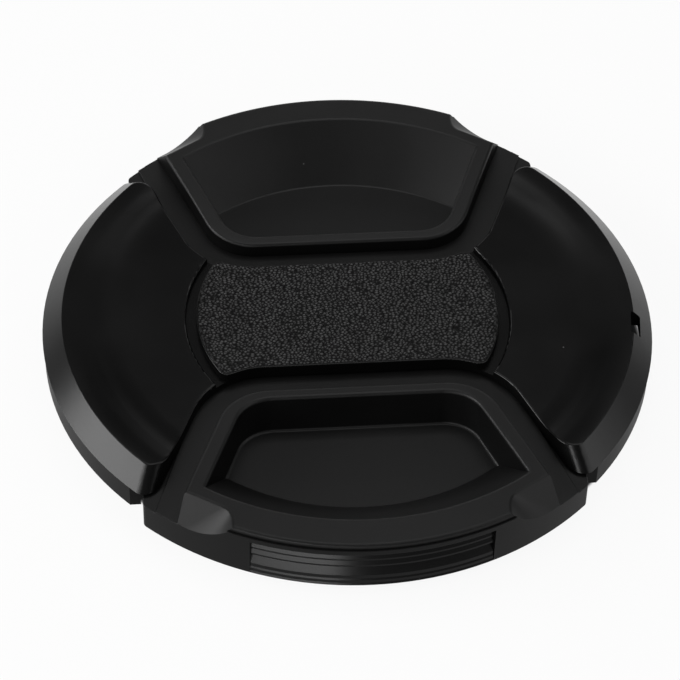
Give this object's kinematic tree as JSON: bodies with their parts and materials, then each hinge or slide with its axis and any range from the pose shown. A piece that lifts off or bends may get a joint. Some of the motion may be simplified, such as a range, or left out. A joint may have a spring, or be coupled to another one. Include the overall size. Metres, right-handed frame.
{
  "type": "camera lens cap",
  "caption": "Round black centre-pinch lens cap with smooth bevelled wings, a grained centre panel and sprung finger latches whose back jaws snap into a lens filter thread.",
  "frame": {"origin": "middle of the back, level with the tips of the two jaws that it rests on", "axes": "+Z out of the front face, X from wing to wing, Y along the pinch with the near latch on the -Y side"},
  "size_m": [0.08, 0.082, 0.009],
  "materials": {
    "cover_plastic": "smooth satin black, with a leather-grained panel",
    "plate_plastic": "fine matte black",
    "latch_plastic": "fine matte black",
    "spring_steel": "drawn steel wire"
  },
  "bodies": {
    "cover": {"front_cover": "cover_plastic", "back_plate": "plate_plastic", "left_spring": "spring_steel", "right_spring": "spring_steel"},
    "near_slider": {"near_latch": "latch_plastic"},
    "far_slider": {"far_latch": "latch_plastic"}
  },
  "joints": [
    {"name": "near_latch_slide", "type": "slide", "parent": "cover", "child": "near_slider", "axis": [0, 1, 0], "range_m": [0, 0.003], "stiffness_N_per_m": 800, "springref_m": -0.003, "deforming": ["left_spring", "right_spring"]},
    {"name": "far_latch_slide", "type": "slide", "parent": "cover", "child": "far_slider", "axis": [0, -1, 0], "range_m": [0, 0.003], "stiffness_N_per_m": 800, "springref_m": -0.003, "deforming": ["left_spring", "right_spring"]}
  ]
}
